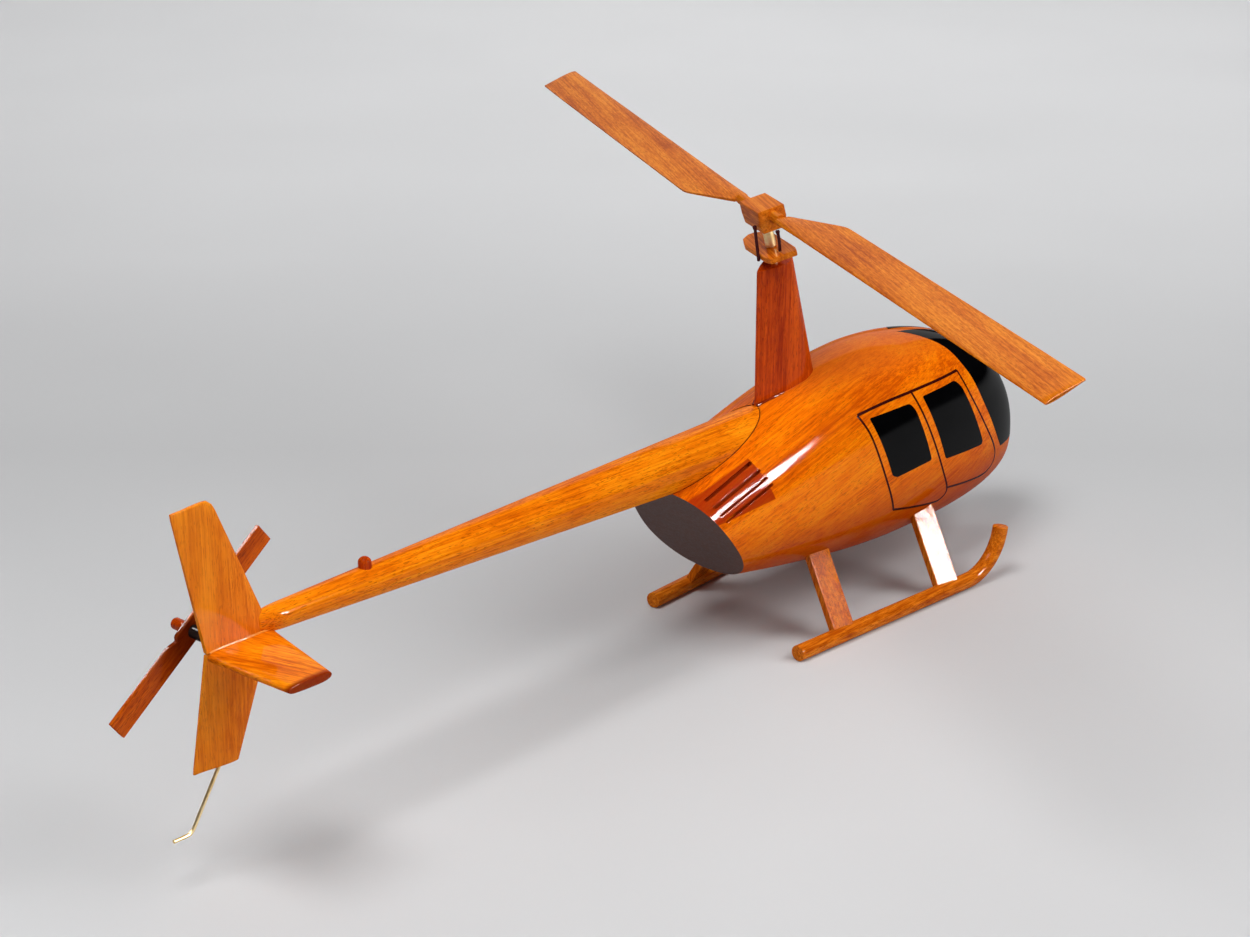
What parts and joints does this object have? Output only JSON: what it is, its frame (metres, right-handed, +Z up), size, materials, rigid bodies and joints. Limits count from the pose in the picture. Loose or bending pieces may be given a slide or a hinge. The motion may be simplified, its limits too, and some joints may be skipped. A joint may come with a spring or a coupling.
{
  "type": "helicopter scale model",
  "caption": "Carved and lacquered wooden desk model of a light helicopter on skids, with a spinning main rotor and tail rotor.",
  "frame": {"origin": "on the plane the skids rest on, under the centre of the overall box", "axes": "+X forward to the nose, +Y to the left, +Z up; the skids rest on z = 0"},
  "size_m": [0.4228, 0.3881, 0.1602],
  "materials": {
    "lacquered_mahogany": "high-gloss lacquer over golden-brown mahogany",
    "dark_mahogany": "gloss lacquer over red-brown stained mahogany",
    "bare_dowel": "bare hardwood dowel",
    "brass": "polished",
    "black_plastic": "gloss black",
    "maroon_wire": "dark maroon painted wire"
  },
  "bodies": {
    "airframe": {"beacon_light": "dark_mahogany", "boom_dowel": "bare_dowel", "fairing_dowel": "bare_dowel", "fuselage_pod": "lacquered_mahogany", "horizontal_stabilizer": "lacquered_mahogany", "lower_fin": "lacquered_mahogany", "mast_fairing": "dark_mahogany", "mast_rod": "brass", "mast_washer": "brass", "skid_left": "dark_mahogany", "skid_right": "dark_mahogany", "strut_front_left": "dark_mahogany", "strut_front_right": "dark_mahogany", "strut_rear_left": "dark_mahogany", "strut_rear_right": "dark_mahogany", "tail_boom": "lacquered_mahogany", "tail_gearbox": "black_plastic", "tail_rotor_peg": "dark_mahogany", "tail_rotor_pin": "brass", "tail_skid_wire": "brass", "upper_fin": "lacquered_mahogany"},
    "main_rotor": {"rotor_hub": "lacquered_mahogany", "main_blade_1": "dark_mahogany", "main_blade_2": "dark_mahogany", "blade_peg_1": "lacquered_mahogany", "blade_peg_2": "lacquered_mahogany", "pitch_link_1": "maroon_wire", "pitch_link_2": "maroon_wire", "swashplate": "lacquered_mahogany", "mast_sleeve": "brass"},
    "tail_rotor_blades": {"tail_rotor": "dark_mahogany"}
  },
  "joints": [
    {"name": "main_rotor_spin", "type": "hinge", "parent": "airframe", "child": "main_rotor", "pos_m": [0.0699, -0.0003, 0.1515], "axis": [-0.1995, 0.1253, 0.9719], "continuous": true},
    {"name": "tail_rotor_spin", "type": "hinge", "parent": "airframe", "child": "tail_rotor_blades", "pos_m": [-0.1801, 0.00715, 0.075], "axis": [0, 1, 0], "continuous": true}
  ]
}
